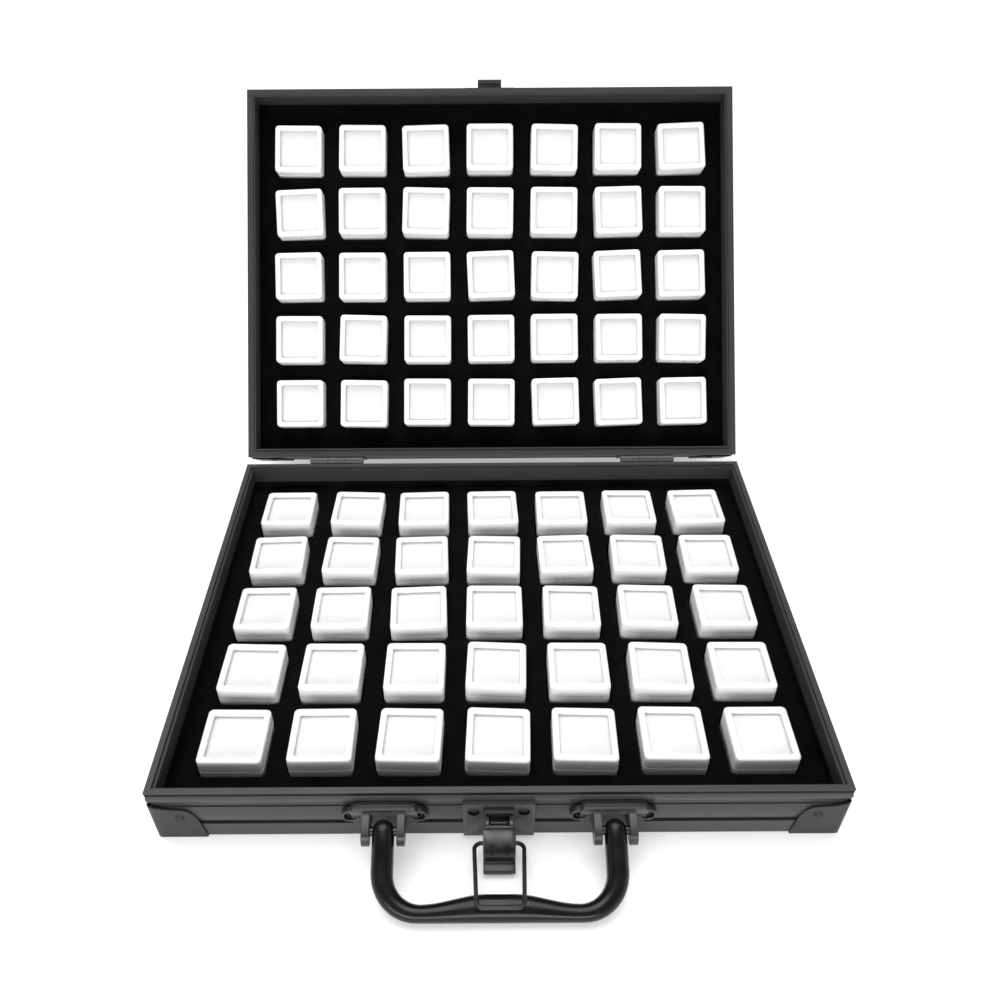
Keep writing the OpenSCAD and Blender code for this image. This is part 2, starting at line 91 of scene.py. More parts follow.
class Shader:
    """A Principled material with a few procedural layers."""

    def __init__(self, name, rough, metallic=0.0, specular=0.5):
        self.material = bpy.data.materials.new(name)
        self.material.use_nodes = True
        self.tree = self.material.node_tree
        self.bsdf = self.tree.nodes["Principled BSDF"]
        self.set("Roughness", rough)
        self.set("Metallic", metallic)
        self.set("Specular IOR Level", specular)
        self.place = self.tree.nodes.new("ShaderNodeTexCoord").outputs["Object"]

    def set(self, socket, value):
        self.bsdf.inputs[socket].default_value = value

    def link(self, a, b):
        self.tree.links.new(a, b)

    def noise(self, scale, stretch=(1, 1, 1), turn=0.0, detail=3.0):
        mapping = self.tree.nodes.new("ShaderNodeMapping")
        mapping.inputs["Rotation"].default_value = (turn, 0, 0)
        mapping.inputs["Scale"].default_value = stretch
        noise = self.tree.nodes.new("ShaderNodeTexNoise")
        noise.inputs["Scale"].default_value = scale
        noise.inputs["Detail"].default_value = detail
        self.link(self.place, mapping.inputs["Vector"])
        self.link(mapping.outputs["Vector"], noise.inputs["Vector"])
        return noise.outputs["Fac"]

    def ramp(self, value, low, high, start=0.35, end=0.65):
        ramp = self.tree.nodes.new("ShaderNodeValToRGB")
        ramp.color_ramp.elements[0].position = start
        ramp.color_ramp.elements[1].position = end
        ramp.color_ramp.elements[0].color = (*low, 1)
        ramp.color_ramp.elements[1].color = (*high, 1)
        self.link(value, ramp.inputs["Fac"])
        return ramp.outputs["Color"]

    def colour(self, value, low, high):
        self.base = self.ramp(value, low, high)
        self.link(self.base, self.bsdf.inputs["Base Color"])

    def roughness(self, value, low, high):
        self.link(self.ramp(value, (low,) * 3, (high,) * 3), self.bsdf.inputs["Roughness"])

    def edge_wear(self, colour):
        """Mixes a colour into the base colour along outer edges."""
        geometry = self.tree.nodes.new("ShaderNodeNewGeometry")
        mask = self.ramp(geometry.outputs["Pointiness"], (0, 0, 0), (1, 1, 1), start=0.53, end=0.6)
        mix = self.tree.nodes.new("ShaderNodeMix")
        mix.data_type = "RGBA"
        mix.inputs["B"].default_value = (*colour, 1)
        self.link(mask, mix.inputs["Factor"])
        self.link(self.base, mix.inputs["A"])
        self.link(mix.outputs["Result"], self.bsdf.inputs["Base Color"])

    def bump(self, value, depth, strength=1.0):
        bump = self.tree.nodes.new("ShaderNodeBump")
        bump.inputs["Distance"].default_value = depth
        bump.inputs["Strength"].default_value = strength
        self.link(value, bump.inputs["Height"])
        before = self.bsdf.inputs["Normal"]
        if before.is_linked:
            self.link(before.links[0].from_socket, bump.inputs["Normal"])
        self.link(bump.outputs["Normal"], self.bsdf.inputs["Normal"])


def grey(value, blue=0.0):
    return (value, value, value * (1 + blue))


def anodised(name, along, turn=0.0):
    """Satin black extrusion with fine lines along X or along the turned Y axis."""
    shader = Shader(name, 0.38, specular=0.27)
    stretch = (0.012, 1, 1) if along == "X" else (1, 0.012, 1)
    lines = shader.noise(5200, stretch, turn, detail=4)
    cloud = shader.noise(35, detail=2)
    shader.colour(cloud, grey(0.011, 0.08), grey(0.015, 0.08))
    shader.edge_wear(grey(0.04, 0.03))
    shader.roughness(cloud, 0.32, 0.42)
    shader.bump(lines, 0.00001, 0.5)
    shader.bump(shader.noise(1400), 0.000008, 0.4)
    return shader.material


def laminate():
    """Matt black laminated board with a fine grain."""
    shader = Shader("panel_black", 0.6, specular=0.12)
    shader.colour(shader.noise(60), grey(0.003), grey(0.006))
    shader.bump(shader.noise(1500, detail=5), 0.00006, 0.6)
    return shader.material


def flock():
    """Black flocked foam: nearly no shine, a fine short pile."""
    shader = Shader("foam_black", 0.95, specular=0.05)
    shader.set("Sheen Weight", 0.02)
    shader.set("Sheen Roughness", 0.5)
    shader.colour(shader.noise(90, detail=4), grey(0.0012), grey(0.0028))
    shader.bump(shader.noise(2600, detail=4), 0.00025, 0.8)
    shader.bump(shader.noise(160), 0.0003, 0.35)
    return shader.material


def white_plastic():
    """Moulded white plastic that lets a little light in."""
    shader = Shader("box_white", 0.3, specular=0.45)
    shader.set("Subsurface Weight", 0.12)
    shader.set("Subsurface Radius", (0.004, 0.004, 0.0042))
    shader.set("Subsurface Scale", 0.6)
    cloud = shader.noise(45)
    shader.colour(cloud, (0.86, 0.862, 0.868), (0.89, 0.892, 0.898))
    shader.roughness(cloud, 0.26, 0.36)
    shader.bump(shader.noise(900), 0.00001, 0.4)
    return shader.material


def clear_window():
    """Clear plastic, not quite flat."""
    shader = Shader("box_window", 0.12, specular=0.5)
    shader.set("Alpha", 0.22)
    shader.colour(shader.noise(40), (0.92, 0.925, 0.93), (0.95, 0.955, 0.96))
    shader.bump(shader.noise(70), 0.00002, 0.3)
    return shader.material


def white_pad():
    """Fine-celled white foam."""
    shader = Shader("pad_white", 0.9, specular=0.2)
    shader.set("Sheen Weight", 0.15)
    shader.colour(shader.noise(500), (0.83, 0.833, 0.84), (0.89, 0.893, 0.9))
    shader.bump(shader.noise(3500, detail=5), 0.0001, 0.6)
    return shader.material


def painted(name, tone, rough, wear, specular):
    """Black paint or moulded plastic with soft clouds, a fine grain and worn edges."""
    shader = Shader(name, rough, specular=specular)
    cloud = shader.noise(120)
    shader.colour(cloud, grey(tone * 0.85), grey(tone * 1.1))
    shader.edge_wear(grey(wear))
    shader.roughness(cloud, rough - 0.05, rough + 0.06)
    shader.bump(shader.noise(2200), 0.00001, 0.6)
    return shader.material


def pin_steel():
    """Dark drawn steel with lines along X."""
    shader = Shader("pin_steel", 0.38, metallic=1.0)
    shader.colour(shader.noise(300, (0.02, 1, 1)), grey(0.035), grey(0.06))
    shader.bump(shader.noise(4000, (0.02, 1, 1)), 0.00001, 0.5)
    return shader.material


LEAN = math.radians(LID_OPEN)
FRAME_X = anodised("frame_black_x", "X")
FRAME_Y = anodised("frame_black_y", "Y")
FRAME_LEAN = anodised("frame_black_lean", "Y", LEAN)
# A lighter, shinier copy of the handle's black plastic for the brackets: painted light, so that their shelf tops,
# in the rim's half shadow, still read bright.
BRACKET_PAINTED_LIGHT = painted("bracket_painted_light", 0.016, 0.34, 0.06, 0.4)
MATERIALS = {
    "panel_black": laminate(),
    "foam_black": flock(),
    "box_white": white_plastic(),
    "box_window": clear_window(),
    "pad_white": white_pad(),
    "guard_black": painted("guard_black", 0.008, 0.42, 0.03, 0.17),
    "steel_black": painted("steel_black", 0.009, 0.3, 0.045, 0.38),
    "rivet_dark": painted("rivet_dark", 0.006, 0.4, 0.02, 0.25),
    "pin_steel": pin_steel(),
    "handle_plastic": painted("handle_plastic", 0.0035, 0.25, 0.012, 0.26),
}


def material_for(node, slot):
    if slot != "frame_black":
        return MATERIALS[slot]
    if node.endswith("front") or node.endswith("back"):
        return FRAME_X
    return FRAME_LEAN if node.startswith("lid") else FRAME_Y


# ---- mesh helpers ----

SQUARE = [(-1, -1), (1, -1), (1, 1), (-1, 1)]


def piece(name, vertices, faces, body, slot, replaced=(), smooth_angle=40):
    """A new piece from vertices in metres in the row frame, riding on a body."""
    mesh = bpy.data.meshes.new(name)
    mesh.from_pydata([tuple(v) for v in vertices], [], faces)
    mesh.validate()
    mesh.materials.append(MATERIALS[slot])
    obj = bpy.data.objects.new(name, mesh)
    bpy.context.scene.collection.objects.link(obj)
    bpy.context.view_layer.objects.active = obj
    bpy.ops.object.select_all(action="DESELECT")
    obj.select_set(True)
    bpy.ops.object.mode_set(mode="EDIT")
    bpy.ops.mesh.select_all(action="SELECT")
    bpy.ops.mesh.remove_doubles(threshold=1e-7)
    bpy.ops.mesh.normals_make_consistent(inside=False)
    bpy.ops.object.mode_set(mode="OBJECT")
    bpy.ops.object.shade_smooth_by_angle(angle=math.radians(smooth_angle))
    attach(obj, body)
    if replaced:
        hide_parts(*replaced)
    return obj


def bevel(obj, width, segments=3, angle=35):
    mod = obj.modifiers.new("rounded_edges", "BEVEL")
    mod.width = width
    mod.segments = segments
    mod.limit_method = "ANGLE"
    mod.angle_limit = math.radians(angle)
    mod.harden_normals = False
    return mod


def loft(rings, closed_ends=True, loop=False):
    """Vertices and faces that join equal rings of points, one after the other."""
    n = len(rings[0])
    vertices = [p for ring in rings for p in ring]
    faces = []
    last = len(rings) if loop else len(rings) - 1
    for i in range(last):
        a, b = i * n, ((i + 1) % len(rings)) * n
        faces += [(a + k, a + (k + 1) % n, b + (k + 1) % n, b + k) for k in range(n)]
    if closed_ends and not loop:
        faces.append(tuple(range(n)))
        faces.append(tuple(range((len(rings) - 1) * n, len(rings) * n)))
    return vertices, faces


def loft_with_bottom(rings):
    """A loft that is open at its first ring and closed at its last."""
    vertices, faces = loft(rings, closed_ends=False)
    n = len(rings[0])
    faces.append(tuple(range((len(rings) - 1) * n, len(rings) * n)))
    return vertices, faces


def merged(parts):
    """Several (vertices, faces) as one."""
    vertices, faces = [], []
    for v, f in parts:
        start = len(vertices)
        vertices += list(v)
        faces += [tuple(start + i for i in face) for face in f]
    return vertices, faces


def moved(part, matrix):
    return [matrix @ Vector(p) for p in part[0]], part[1]


def square_ring(half, radius, z):
    """A rounded square, centred on the origin."""
    steps = 5
    points = []
    for corner in range(4):
        middle = Vector((half - radius, half - radius))
        for k in range(steps + 1):
            angle = math.pi / 2 * k / steps
            p = middle + radius * Vector((math.cos(angle), math.sin(angle)))
            for _ in range(corner):
                p = Vector((-p.y, p.x))
            points.append(Vector((p.x, p.y, z)))
    return points


def cell_place(col, row, z):
    """The middle of a cell in the grid of boxes."""
    return Vector(((col - (COLS - 1) / 2) * PITCH, (row - (ROWS - 1) / 2) * PITCH, z))


# ---- sample boxes ----

def box_places(seed):
    """Where each box sits: a small turn, tilt and shift, as they lie loose in their wells."""
    chance = random.Random(seed)
    places = {}
    for row in range(ROWS):
        for col in range(COLS):
            turn = math.radians(chance.uniform(-2.4, 2.4))
            tilt_x = math.radians(chance.uniform(-0.9, 0.9))
            tilt_y = math.radians(chance.uniform(-0.9, 0.9))
            shift = Vector((chance.uniform(-0.4, 0.4), chance.uniform(-0.4, 0.4), 0.2)) * MM
            places[col, row] = (
                Matrix.Translation(cell_place(col, row, WELL_Z) + shift)
                @ Matrix.Rotation(turn, 4, "Z")
                @ Matrix.Rotation(tilt_x, 4, "X")
                @ Matrix.Rotation(tilt_y, 4, "Y")
            )
    return places


HALF = BOX_SIZE / 2
WALL = 1.2 * MM
INSIDE = HALF - WALL
CORNER = 2.2 * MM
INSIDE_CORNER = CORNER - WALL / 2
EDGE = 0.35 * MM
FRAME_W = 3.1 * MM
FRAME_T = 1.9 * MM
WINDOW_T = 0.8 * MM


def tray_part():
    """The lower half of a box, open at the top, with its foot pulled in."""
    return loft([
        square_ring(HALF - 1.0 * MM, CORNER, 0),
        square_ring(HALF - EDGE, CORNER, 0.3 * MM),
        square_ring(HALF, CORNER, 1.0 * MM),
        square_ring(HALF, CORNER, TRAY_H - EDGE),
        square_ring(HALF - EDGE, CORNER, TRAY_H),
        square_ring(INSIDE, INSIDE_CORNER, TRAY_H),
        square_ring(INSIDE, INSIDE_CORNER, WALL),
    ])


def lid_part():
    """The framed lid: rounded top edges, and an opening with a soft rim for the window."""
    low = TRAY_H + 0.1 * MM
    opening = HALF - FRAME_W
    top_edge = [(0, 1.0), (0.13, 0.5), (0.5, 0.13), (1.0, 0)]
    rings = [square_ring(HALF - EDGE, CORNER, low), square_ring(HALF, CORNER, low + EDGE)]
    rings += [square_ring(HALF - a * MM, CORNER, BOX_H - b * MM) for a, b in top_edge]
    rings += [
        square_ring(opening + 0.5 * MM, 1.6 * MM, BOX_H),
        square_ring(opening + 0.12 * MM, 1.3 * MM, BOX_H - 0.14 * MM),
        square_ring(opening, 1.2 * MM, BOX_H - 0.5 * MM),
        square_ring(opening, 1.2 * MM, BOX_H - FRAME_T),
        square_ring(INSIDE, INSIDE_CORNER, BOX_H - FRAME_T),
        square_ring(INSIDE, INSIDE_CORNER, low),
    ]
    return loft(rings, loop=True)


def window_part():
    """The clear plate under the lid's frame, with its edges taken off."""
    half = INSIDE - 0.05 * MM
    top = BOX_H - FRAME_T
    edge = 0.1 * MM
    return loft([
        square_ring(half - edge, MM, top - WINDOW_T),
        square_ring(half, MM, top - WINDOW_T + edge),
        square_ring(half, MM, top - edge),
        square_ring(half - edge, MM, top),
    ])


def pad_part():
    """The foam pad that fills a box up to its window, with a slightly crowned top."""
    half = INSIDE - 0.2 * MM
    corner = 1.4 * MM
    top = BOX_H - FRAME_T - WINDOW_T - 0.3 * MM
    crown = [(0, 1.4), (0.3, 0.6), (1.0, 0.2), (3.0, 0.05), (8.0, 0)]
    rings = [square_ring(half - 0.5 * MM, corner, WALL), square_ring(half, corner, WALL + 0.6 * MM)]
    rings += [square_ring(half - a * MM, corner, top - b * MM) for a, b in crown]
    return loft(rings)


BOX_PARTS = {
    "trays": (tray_part, "box_white"),
    "lids": (lid_part, "box_white"),
    "windows": (window_part, "box_window"),
    "pads": (pad_part, "pad_white"),
}


def box_piece(node, part, body, slot):
    made = piece(f"{node}_detail", *part, body, slot, [node])


def make_boxes():
    """Each kind of box part as one piece for a half, and once more for the loose sample box."""
    base_places, lid_places = box_places(11), box_places(23)
    sample_place = base_places.pop(SAMPLE_CELL)
    for kind, (build, slot) in BOX_PARTS.items():
        part = build()
        for half, places, carry in (("base", base_places, Matrix()), ("lid", lid_places, TO_LID)):
            boxes = merged([moved(part, carry @ m) for m in places.values()])
            box_piece(f"{half}_box_{kind}", boxes, half, slot)
        body = "sample_lid" if kind in ("lids", "windows") else "sample_box"
        box_piece(f"sample_box_{kind[:-1]}", moved(part, sample_place), body, slot)


# ---- foam inserts ----

# places along a cell's side from -1 to 1, closer together towards its ends
SIDE_STEPS = [-1, -0.93, -0.84, -0.7, -0.45, -0.15, 0.15, 0.45, 0.7, 0.84, 0.93]


def cell_ring(half, radius, z):
    """The points of a cell's outline pulled in to a rounded square of that half size."""
    points = []
    for i, a in enumerate(SQUARE):
        b = SQUARE[(i + 1) % 4]
        for t in SIDE_STEPS:
            s = (t + 1) / 2
            p = Vector((a[0] + (b[0] - a[0]) * s, a[1] + (b[1] - a[1]) * s)) * half
            core = half - radius
            q = Vector((max(-core, min(core, p.x)), max(-core, min(core, p.y))))
            away = p - q
            if radius > 0 and away.length > 1e-9:
                p = q + away.normalized() * radius
            points.append(Vector((p.x, p.y, z)))
    return points


def foam_part(seed):
    """A foam slab with soft-lipped wells, one to a cell, and a plain margin round them."""
    chance = random.Random(seed)
    mouth = HALF + 0.85 * MM
    mouth_corner = 2.2 * MM
    lip = 1.5 * MM
    lip_steps = 4
    parts = []
    for col in range(COLS):
        for row in range(ROWS):
            sag = chance.uniform(-0.15, 0.1) * MM
            rings = [cell_ring(PITCH / 2, 0, FOAM_Z)]
            rings.append(cell_ring(mouth + 2.6 * MM, 3 * MM, FOAM_Z + sag / 2))
            for k in range(lip_steps + 1):
                angle = math.pi / 2 * k / lip_steps
                out = lip * (1 - math.sin(angle))
                z = FOAM_Z - lip * (1 - math.cos(angle)) + sag / 2
                rings.append(cell_ring(mouth + out, mouth_corner + out, z))
            rings.append(cell_ring(mouth - 0.3 * MM, 2 * MM, WELL_Z))
            v, f = loft_with_bottom(rings)
            at = cell_place(col, row, 0)
            parts.append(([p + at for p in v], f))
    parts.append(foam_margin())
    return merged(parts)


def foam_margin():
    """The slab's border: from the outline of the cells out to its walls, and round underneath."""
    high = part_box("base_foam_insert")[1]
    wide, deep = COLS * PITCH / 2, ROWS * PITCH / 2
    foot_in, foot_h = 3.1 * MM, MM

    def outline(half_x, half_y, z):
        points = []
        for i, a in enumerate(SQUARE):
            b = SQUARE[(i + 1) % 4]
            cells = COLS if i % 2 == 0 else ROWS
            for cell in range(cells):
                for t in SIDE_STEPS:
                    s = (cell + (t + 1) / 2) / cells
                    x = (a[0] + (b[0] - a[0]) * s) * half_x
                    y = (a[1] + (b[1] - a[1]) * s) * half_y
                    points.append(Vector((x, y, z)))
        return points

    return loft_with_bottom([
        outline(wide, deep, FOAM_Z),
        outline(high.x - 2 * MM, high.y - 2 * MM, FOAM_Z),
        outline(high.x - 0.5 * MM, high.y - 0.5 * MM, FOAM_Z - 0.2 * MM),
        outline(high.x, high.y, FOAM_Z - 0.7 * MM),
        outline(high.x, high.y, FOAM_BOTTOM + foot_h),
        outline(high.x - foot_in, high.y - foot_in, FOAM_BOTTOM + foot_h),
        outline(high.x - foot_in, high.y - foot_in, FOAM_BOTTOM),
    ])


def make_foam():
    for half, carry, seed in (("base", Matrix(), 5), ("lid", TO_LID, 6)):
        v, f = moved(foam_part(seed), carry)
        made = piece(f"{half}_foam_detail", v, f, half, "foam_black", [f"{half}_foam_insert"])


# ---- handle ----

HANDLE = joint_place("handle_pivot")
ARM_X = (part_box("handle_bracket_right")[0].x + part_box("handle_bracket_right")[1].x) / 2
GRIP_OUT = 36.5 * MM
HANDLE_SLOPE = math.atan2(14, 28)
ARM_R = 4.85 * MM


def handle_matrix():
    """Carries (across, along the arms, out of the handle's plane) into the row frame."""
    return Matrix.Translation(HANDLE) @ Matrix.Rotation(math.pi + HANDLE_SLOPE, 4, "X")


def smooth(t):
    t = max(0.0, min(1.0, t))
    return t * t * (3 - 2 * t)


def handle_stations():
    """(outer point, inner point, half depth) from the right arm's end to the grip's middle."""
    out_x, in_x = ARM_X + ARM_R, ARM_X - ARM_R
    outer_r, inner_r = 20 * MM, 11.9 * MM
    thin, thick = 7.4 * MM, 11.3 * MM
    end_steps, arm_steps, bend_steps, grip_steps = 6, 6, 12, 12
    stations = []
    for k in range(end_steps + 1):
        s = -ARM_R * math.cos(math.pi / 2 * k / end_steps) * 0.98
        w = ARM_R * math.sqrt(max(0.01, 1 - (s / ARM_R) ** 2))
        stations.append((Vector((ARM_X + w, s)), Vector((ARM_X - w, s)), w * 0.97))
    start = GRIP_OUT - outer_r
    for k in range(1, arm_steps):
        s = start * k / arm_steps
        stations.append((Vector((out_x, s)), Vector((in_x, s)), ARM_R))
    inner_s = GRIP_OUT - thin - inner_r
    for k in range(bend_steps + 1):
        angle = math.pi / 2 * k / bend_steps
        turn = Vector((math.cos(angle), math.sin(angle)))
        outer = Vector((out_x - outer_r, start)) + outer_r * turn
        inner = Vector((in_x - inner_r, inner_s)) + inner_r * turn
        stations.append((outer, inner, ARM_R - 0.25 * MM * k / bend_steps))
    bend_x = in_x - inner_r
    flat_x = 6 * MM
    for k in range(1, grip_steps + 1):
        x = bend_x * (1 - k / grip_steps)
        swell = smooth(1 - (x - flat_x) / (bend_x - flat_x))
        width = thin + (thick - thin) * swell
        depth = 4.6 * MM + 0.65 * MM * swell
        stations.append((Vector((x, GRIP_OUT)), Vector((x, GRIP_OUT - width)), depth))
    return stations


def make_handle():
    """Slightly squared oval sections, lofted from one arm's end to the other's."""
    half = handle_stations()
    mirrored = [(Vector((-a.x, a.y)), Vector((-b.x, b.y)), d) for a, b, d in half[-2::-1]]
    rings = []
    steps = 28
    power = 0.88
    for outer, inner, depth in half + mirrored:
        middle, arm = (outer + inner) / 2, (outer - inner) / 2
        ring = []
        for k in range(steps):
            angle = 2 * math.pi * k / steps
            c, s = math.cos(angle), math.sin(angle)
            c = math.copysign(abs(c) ** power, c)
            s = math.copysign(abs(s) ** power, s)
            p = middle + arm * c
            ring.append(Vector((p.x, p.y, depth * s)))
        rings.append(ring)
    v, f = moved(loft(rings), handle_matrix())
    piece("handle_detail", v, f, "handle", "handle_plastic", ["handle_grip"], smooth_angle=60)


# ---- prisms for brackets and latch ----

def prism(outline, low, high, to_frame):
    """A 2D outline swept from low to high; to_frame turns (a, b, depth) into the row frame."""
    bottom = [to_frame(a, b, low) for a, b in outline]
    top = [to_frame(a, b, high) for a, b in outline]
    return loft([bottom, top])


def arc(centre, radius, start, end, steps=8):
    """Points of an arc in millimetres, angles in degrees."""
    points = []
    for k in range(steps + 1):
        angle = math.radians(start + (end - start) * k / steps)
        points.append((centre[0] + radius * math.cos(angle), centre[1] + radius * math.sin(angle)))
    return points


def on_front(x0):
    """(across, up from the rim, outwards) in millimetres on the front face."""
    return lambda a, b, depth: Vector((x0 + a * MM, FRONT_Y - depth * MM, RIM_Z + b * MM))


def from_side(x0):
    """(outwards, up from the rim, across) in millimetres on the front face."""
    return lambda a, b, depth: Vector((x0 + depth * MM, FRONT_Y - a * MM, RIM_Z + b * MM))


PIVOT_OUT = (FRONT_Y - HANDLE.y) / MM
PIVOT_UP = (HANDLE.z - RIM_Z) / MM


def screw_ear(side):
    """A round ear with a deep counterbore for its screw, as a closed ring."""
    middle, outer_r, hole_r, shank_r = (side * 15, -14), 4.2, 2.75, 1.9
    top, seat = 3.1, 0.7
    levels = [
        (outer_r, 0), (outer_r, 2.3), (outer_r - 0.15, 2.8), (outer_r - 0.55, top),
        (hole_r + 0.45, top), (hole_r + 0.1, 2.95), (hole_r, 2.6), (hole_r, seat),
        (shank_r, seat), (shank_r, 0),
    ]
    rings = []
    for radius, out in levels:
        rings.append([on_front(0)(a, b, out) for a, b in arc(middle, radius, 0, 350, 35)])
    return loft(rings, loop=True)


def make_brackets():
    """Each bracket: a rounded slab, a shelf over it, two ears for the pivot pin and two screw ears."""
    slab = arc((-11.5, -9.4), 3.2, 180, 90) + arc((11.5, -9.4), 3.2, 90, 0)
    slab += arc((11.7, -18), 3, 0, -90) + arc((-11.7, -18), 3, -90, -180)
    shelf = [(-13.6, -6.4), (13.6, -6.4), (14.8, -8.2), (14.8, -10.6), (-14.8, -10.6), (-14.8, -8.2)]
    nose = arc((PIVOT_OUT + 0.9, PIVOT_UP - 1.4), 4.7, 68, -112, 16)
    ear = [(2.6, -8.6), (7.5, -9.2)] + nose + [(5.4, -19.9), (2.6, -20)]
    ear_in, ear_out = 5.95, 9.45
    for name, x0 in (("left", -ARM_X), ("right", ARM_X)):
        parts = [
            prism(slab, 0, 2.4, on_front(x0)),
            prism(shelf, 1, 4.4, on_front(x0)),
            prism(ear, -ear_out, -ear_in, from_side(x0)),
            prism(ear, ear_in, ear_out, from_side(x0)),
        ]
        parts += [moved(screw_ear(side), Matrix.Translation((x0, 0, 0))) for side in (-1, 1)]
        v, f = merged(parts)
        made = piece(f"handle_bracket_{name}_detail", v, f, "base", "handle_plastic",
            [f"handle_bracket_{name}"])
        # painted light: the brackets take the lighter copy of the handle plastic instead of their slot's material
        made.data.materials[0] = BRACKET_PAINTED_LIGHT
        bevel(made, 0.45 * MM)


# ---- latch ----

LEVER = joint_place("latch_lever_pivot")
LEVER_TILT = math.radians(35)
BAIL = joint_place("bail_swing")
BAIL_REST = math.radians(7.4)
BAIL_LEN = 31.2
LEG_X = 11.0
WIRE_R = 0.95
PIN_R = 0.9


def lever_point(along, out, across):
    """Millimetres along the lever from its pin, outwards from it, and across the case."""
    s, c = math.sin(LEVER_TILT), math.cos(LEVER_TILT)
    y = LEVER.y - (along * s + out * c) * MM
    z = LEVER.z + (-along * c + out * s) * MM
    return Vector((across * MM, y, z))


def lever_line():
    """The lever sheet's middle line as (along, out, half width), all in millimetres.

    It is rolled round its pin, folded over the plate's ears as a bowed roof, hollowed, and
    curled at the tip.
    """
    neck, roof_w, tip_w = 4.2, 7.1, 6.8
    roll = [(*p, neck) for p in arc((0, 0), 1.95, 250, 125, 12)]
    fold = [(-1.25, 2.5, neck), (-1.1, 3.1, neck), (-0.9, 3.5, roof_w - 0.6), (-0.5, 3.75, roof_w - 0.1)]
    roof = [(0.3, 3.95), (2.5, 4.15), (5, 4.2), (7.5, 3.95), (10, 3.4), (12.2, 2.6)]
    hollow = [(13.4, 1.6), (14.4, 0.4), (15.6, -0.6), (17, -0.8), (18.2, -0.2)]
    curl = [(19, 0.8), (19.8, 1.4), (20.7, 1.2), (21.4, 0.5)]
    wide = [(*p, roof_w) for p in roof + hollow + curl]
    return roll + fold + wide + [(22, -0.3, tip_w)]


def dimple(along, across):
    """How far the sheet is pressed in by its two small dimples, in millimetres."""
    dimple_along, dimple_across, deepest, radius = 10.2, 3.2, 0.9, 1.2
    depth = 0.0
    for side in (-1, 1):
        away = math.hypot(along - dimple_along, across - side * dimple_across)
        depth += deepest * math.exp(-((away / radius) ** 2))
    return depth


def lever_sheet():
    """The sheet round its middle line, dimpled, with its side edges rounded over."""
    line = lever_line()
    half_t = 0.5
    columns = 32
    rings = []
    for col in range(columns + 1):
        share = 2 * col / columns - 1
        outer, inner = [], []
        for i, (along, out, half_width) in enumerate(line):
            before, after = line[max(0, i - 1)], line[min(len(line) - 1, i + 1)]
            tangent = Vector((after[0] - before[0], after[1] - before[1])).normalized()
            normal = Vector((-tangent.y, tangent.x))
            across = share * half_width
            press = dimple(along, across) if out > 1 else 0
            round_over = 0.5 * abs(share) ** 6
            q = Vector((along, out - press - round_over))
            outer.append(lever_point(*(q + normal * half_t), across))
            inner.append(lever_point(*(q - normal * half_t), across))
        rings.append(outer + inner[::-1])
    return loft(rings)


def lever_cheek(side):
    """A side flange of the lever that holds the bail's pin."""
    centre = (10.15, -4.5)
    outline = [(5.2, 2.1), (8, 2.5), (12, 2.2), (14.2, 0.6), (15.4, -0.7), (14.6, -1.6)]
    outline += arc(centre, 2.0, 10, -190, 12) + [(6, -0.6)]
    low, high = sorted((side * 6.0, side * 7.1))
    return prism(outline, low, high, lever_point)


def make_lever():
    v, f = merged([lever_sheet(), lever_cheek(-1), lever_cheek(1)])
    made = piece("latch_lever_detail", v, f, "latch_lever", "steel_black", ["latch_lever"])
    bevel(made, 0.15 * MM, segments=2, angle=50)


def tube(points, radius):
    """A round wire along points, with flat ends."""
    steps = 14
    rings = []
    side = None
    for i, p in enumerate(points):
        tangent = (points[min(len(points) - 1, i + 1)] - points[max(0, i - 1)]).normalized()
        if side is None:
            side = tangent.orthogonal().normalized()
        side = (side - tangent * side.dot(tangent)).normalized()
        other = tangent.cross(side)
        rings.append([p + radius * (math.cos(a) * side + math.sin(a) * other)
            for a in (2 * math.pi * k / steps for k in range(steps))])
    return loft(rings)


def make_bail():
    """One wire: ends turned in to the lever's cheeks, tapering legs and a bar across."""
    top_r, low_r, low_x = 3.2, 3.0, 10.1
    half = [(5.5, 0.0)] + arc((LEG_X - top_r, top_r), top_r, -90, 0, 8)
    leg = BAIL_LEN - low_r - top_r
    half += [(LEG_X + (low_x - LEG_X) * t, top_r + leg * t) for t in (0.25, 0.5, 0.75)]
    half += arc((low_x - low_r, BAIL_LEN - low_r), low_r, 0, 90, 8)
    outline = half + [(-x, s) for x, s in half[::-1]]
    carry = Matrix.Translation(BAIL) @ Matrix.Rotation(math.pi - BAIL_REST, 4, "X")
    points = [carry @ Vector((x * MM, s * MM, 0)) for x, s in outline]
    v, f = tube(points, WIRE_R * MM)
    piece("latch_bail_detail", v, f, "latch_bail", "steel_black", ["latch_bail"], smooth_angle=60)


def make_bail_pin():
    """The turned-in ends' shared axle, hidden between the lever's cheeks."""
    points = [BAIL + Vector((x * MM, 0, 0)) for x in (-7.6, -3, 3, 7.6)]
    v, f = tube(points, PIN_R * MM)
    piece("bail_pin_detail", v, f, "bail_pin", "pin_steel", ["bail_pin"])


# ---- the CAD nodes that stay: materials and softened edges ----

EDGE_WIDTHS = {"frame_black": 0.22, "guard_black": 0.32, "steel_black": 0.3, "rivet_dark": 0.25}


def dress_cad_nodes():
    slots = {s["node"]: s["material_slot"] for s in frame["record"]["subparts"]}
    for name, obj in frame["nodes"].items():
        slot = slots[name]
        obj.data.materials.clear()
        obj.data.materials.append(material_for(name, slot))
        if slot in EDGE_WIDTHS:
            bevel(obj, EDGE_WIDTHS[slot] * MM, segments=2)


# ---- dark strips in the frame's grooves: painted shade ----

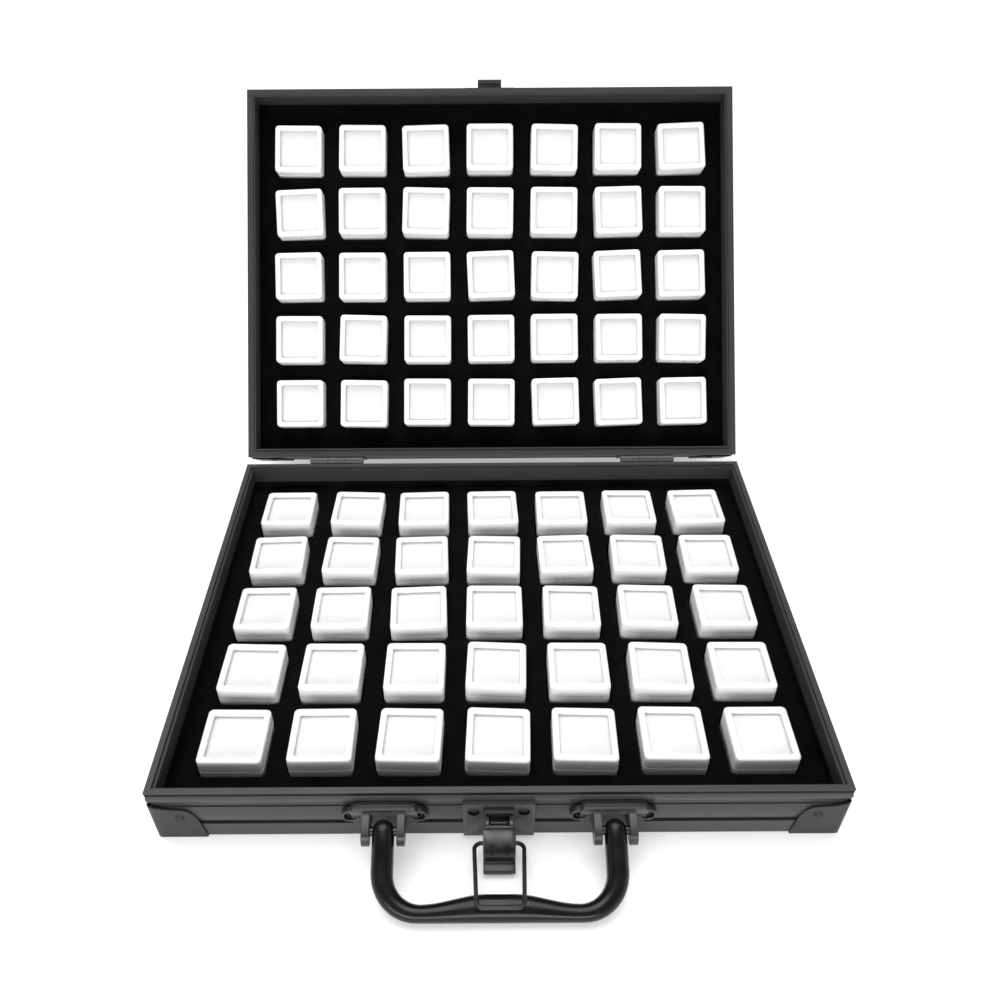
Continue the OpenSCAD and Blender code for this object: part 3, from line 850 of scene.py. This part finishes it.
def groove_shade_strip(out_low, out_high, drop_low, drop_high):
    """A square-cut ring of painted shade round the case: (outwards, down from the rim) in millimetres."""
    section = ((out_low, drop_low), (out_high, drop_low), (out_high, drop_high), (out_low, drop_high))
    rings = []
    for out, drop in section:
        x, y = CASE_W / 2 + out * MM, CASE_D / 2 + out * MM
        rings.append([Vector((a * x, b * y, RIM_Z - drop * MM)) for a, b in SQUARE])
    return loft(rings, loop=True)


def make_groove_shade_strips():
    """Black strips of painted shade in the groove under the lip and in the one over the lower angle, where the
    grooves lie in shadow.
    """
    shade_strips = merged([groove_shade_strip(-1.35, -0.25, 0.42, 2.58), groove_shade_strip(-1.75, -0.35, 22.65, 23.85)])
    for half, carry in (("base", Matrix()), ("lid", TO_LID)):
        v, f = moved(shade_strips, carry)
        piece(f"{half}_groove_shade_strip", v, f, half, "panel_black")


# ---- floor, light and camera ----

def floor_material():
    """Matt white paper, a little lit from within so that it stays white at the edges."""
    shader = Shader("floor_pale", 0.9, specular=0.1)
    shader.colour(shader.noise(2), grey(0.75), grey(0.76))
    shader.set("Emission Color", (1, 1, 1, 1))
    shader.set("Emission Strength", 0.35)
    return shader.material


def make_stage():
    """A pale floor, and a studio that is white round the horizon and dimmer overhead."""
    bpy.ops.mesh.primitive_plane_add(size=12, location=(0, 2, -0.0002))
    floor = bpy.context.object
    floor.name = "floor"
    floor.data.materials.append(floor_material())
    world = bpy.data.worlds.new("studio")
    world.use_nodes = True
    tree = world.node_tree
    height = tree.nodes.new("ShaderNodeSeparateXYZ")
    ramp = tree.nodes.new("ShaderNodeValToRGB")
    ramp.color_ramp.elements[0].position = 0.22
    ramp.color_ramp.elements[0].color = (1, 1, 1, 1)
    ramp.color_ramp.elements[1].position = 0.4
    ramp.color_ramp.elements[1].color = (0.3, 0.3, 0.3, 1)
    tree.links.new(tree.nodes.new("ShaderNodeTexCoord").outputs["Generated"], height.inputs["Vector"])
    tree.links.new(height.outputs["Z"], ramp.inputs["Fac"])
    tree.links.new(ramp.outputs["Color"], tree.nodes["Background"].inputs["Color"])
    bpy.context.scene.world = world
    bpy.context.scene.view_settings.view_transform = "Standard"


def soft_light(name, place, target, size, power):
    data = bpy.data.lights.new(name, "AREA")
    data.shape = "RECTANGLE"
    data.size, data.size_y = size
    data.energy = power
    light = bpy.data.objects.new(name, data)
    bpy.context.scene.collection.objects.link(light)
    light.location = place
    aim = Vector(target) - Vector(place)
    light.rotation_euler = aim.to_track_quat("-Z", "Y").to_euler()


def make_lights():
    data = bpy.data.lights.new("overhead", "SUN")
    data.energy = 2.6
    data.angle = math.radians(50)
    overhead = bpy.data.objects.new("overhead", data)
    bpy.context.scene.collection.objects.link(overhead)
    overhead.rotation_euler = (math.radians(-12), math.radians(-4), 0)
    soft_light("front_softbox", (-0.3, -1.6, 0.55), (0, 0, 0.08), (1.6, 0.5), 19)


def make_camera():
    data = bpy.data.cameras.new("camera")
    data.sensor_width = 36
    data.lens = 32.63
    data.shift_x = 0.020
    data.shift_y = -0.0043
    camera = bpy.data.objects.new("camera", data)
    bpy.context.scene.collection.objects.link(camera)
    camera.location = (-7.05 * MM, -338.98 * MM, 383.01 * MM)
    camera.rotation_euler = (math.radians(50.481), math.radians(0.315), math.radians(-0.172))
    bpy.context.scene.camera = camera


make_stage()
make_lights()
make_camera()
dress_cad_nodes()
make_foam()
make_boxes()
make_handle()
make_brackets()
make_lever()
make_bail()
make_bail_pin()
make_groove_shade_strips()
bpy.context.view_layer.update()
